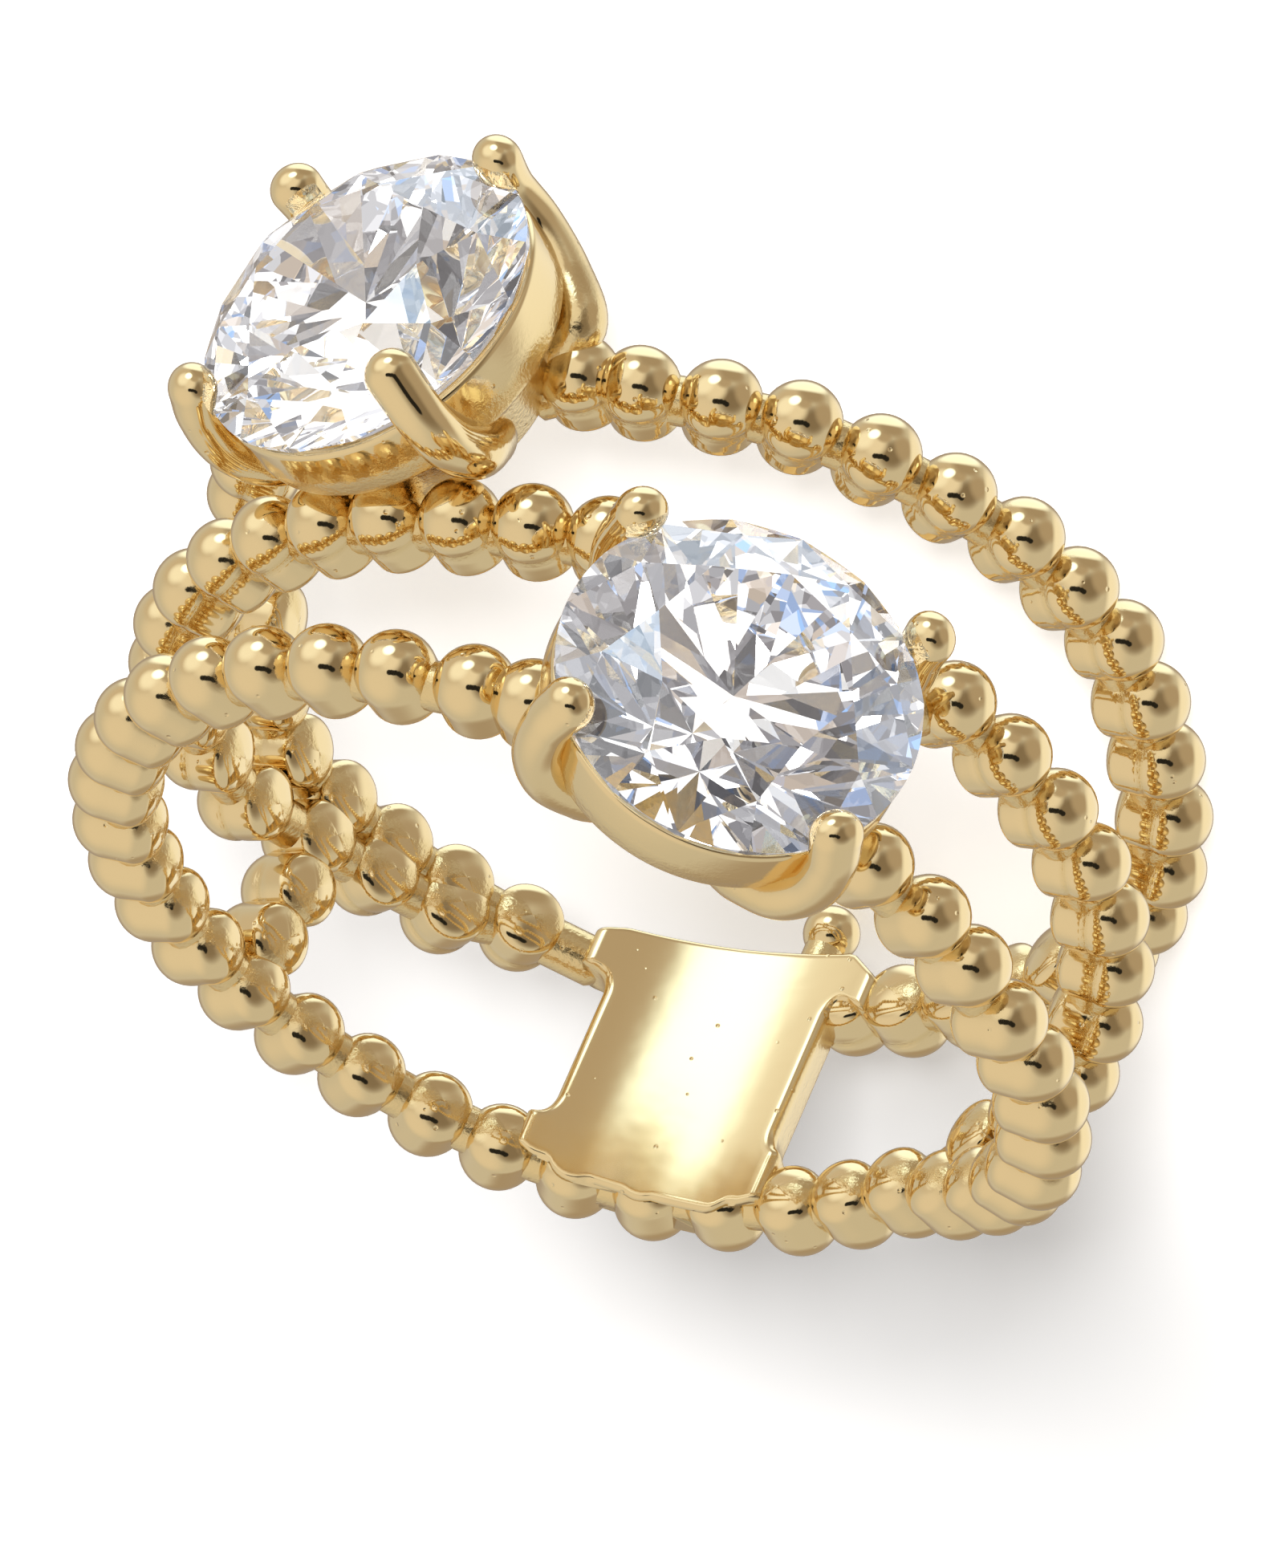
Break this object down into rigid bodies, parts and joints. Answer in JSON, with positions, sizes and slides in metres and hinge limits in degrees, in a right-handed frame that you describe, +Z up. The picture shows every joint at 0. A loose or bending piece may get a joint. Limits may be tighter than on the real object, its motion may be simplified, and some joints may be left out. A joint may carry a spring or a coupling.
{
  "type": "finger ring",
  "caption": "Wide gold finger ring: beaded wire strands that part and join round the finger, round cut stones in claw settings and a smooth plate at the bottom.",
  "frame": {"origin": "on the surface that the ring lies on, at the centre of its bounding box", "axes": "Z up from that surface and within 9 degrees of the finger hole's axis, -Y towards the side that carries the stones, X across the ring"},
  "size_m": [0.0214, 0.0242, 0.0123],
  "materials": {
    "gold": "polished pale yellow gold, grainy between the beads",
    "stone": "clear faceted brilliant cut"
  },
  "bodies": {
    "root": {"beaded_band": "gold", "front_stone": "stone", "rear_stone": "stone"}
  },
  "joints": []
}
